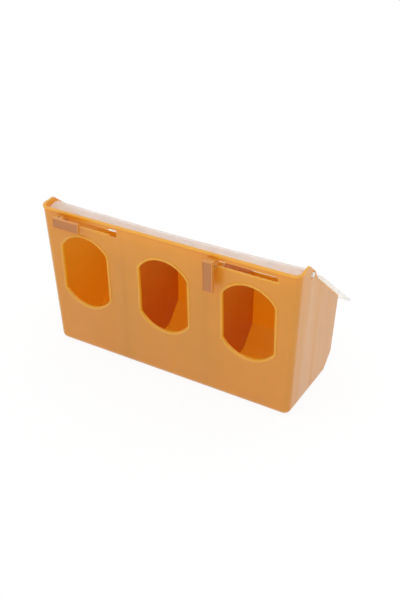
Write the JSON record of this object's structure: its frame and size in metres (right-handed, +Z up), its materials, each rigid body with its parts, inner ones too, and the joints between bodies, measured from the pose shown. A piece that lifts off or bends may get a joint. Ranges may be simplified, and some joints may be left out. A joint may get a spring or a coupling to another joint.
{
  "type": "pigeon feeder",
  "caption": "Box trough for feeding pigeons, with rounded feed openings, a hinged clear lid over the sloping mouth and sliding L-shaped hooks for a cage front.",
  "frame": {"origin": "centre of the flat base of the trough, on the surface that it stands on", "axes": "+X along the trough to the right, seen from the feed openings; +Y from the front wall with the feed openings to the back wall; +Z up"},
  "size_m": [0.315, 0.1372, 0.1714],
  "materials": {
    "orange_polypropylene": "moulded polypropylene, semi-matt",
    "clear_polystyrene": "slightly hazy clear polystyrene",
    "tan_polypropylene": "moulded polypropylene, semi-matt",
    "stud_polypropylene": "moulded polypropylene, semi-matt",
    "cross_pin_steel": "plain steel",
    "runner_polypropylene": "moulded polypropylene, semi-matt"
  },
  "bodies": {
    "box": {"feeder_box": "orange_polypropylene"},
    "lid": {"lid": "clear_polystyrene"},
    "left_runner": {"left_hook_runner": "runner_polypropylene"},
    "left_hook": {"left_hook": "tan_polypropylene", "left_hook_stud": "stud_polypropylene", "left_hook_cross_pin": "cross_pin_steel"},
    "right_runner": {"right_hook_runner": "runner_polypropylene"},
    "right_hook": {"right_hook": "tan_polypropylene", "right_hook_stud": "stud_polypropylene", "right_hook_cross_pin": "cross_pin_steel"}
  },
  "joints": [
    {"name": "lid_hinge", "type": "hinge", "parent": "box", "child": "lid", "pos_m": [0, -0.01127, 0.15802], "axis": [1, 0, 0], "range_deg": [0, 140]},
    {"name": "left_slide", "type": "slide", "parent": "box", "child": "left_runner", "axis": [1, 0, 0], "range_m": [-0.0022, 0.065]},
    {"name": "left_turn", "type": "hinge", "parent": "left_runner", "child": "left_hook", "pos_m": [-0.125, -0.04017, 0.1597], "axis": [0, 1, 0], "continuous": true},
    {"name": "right_slide", "type": "slide", "parent": "box", "child": "right_runner", "axis": [1, 0, 0], "range_m": [0, 0.067]},
    {"name": "right_turn", "type": "hinge", "parent": "right_runner", "child": "right_hook", "pos_m": [0.06, -0.04017, 0.1597], "axis": [0, 1, 0], "continuous": true}
  ]
}
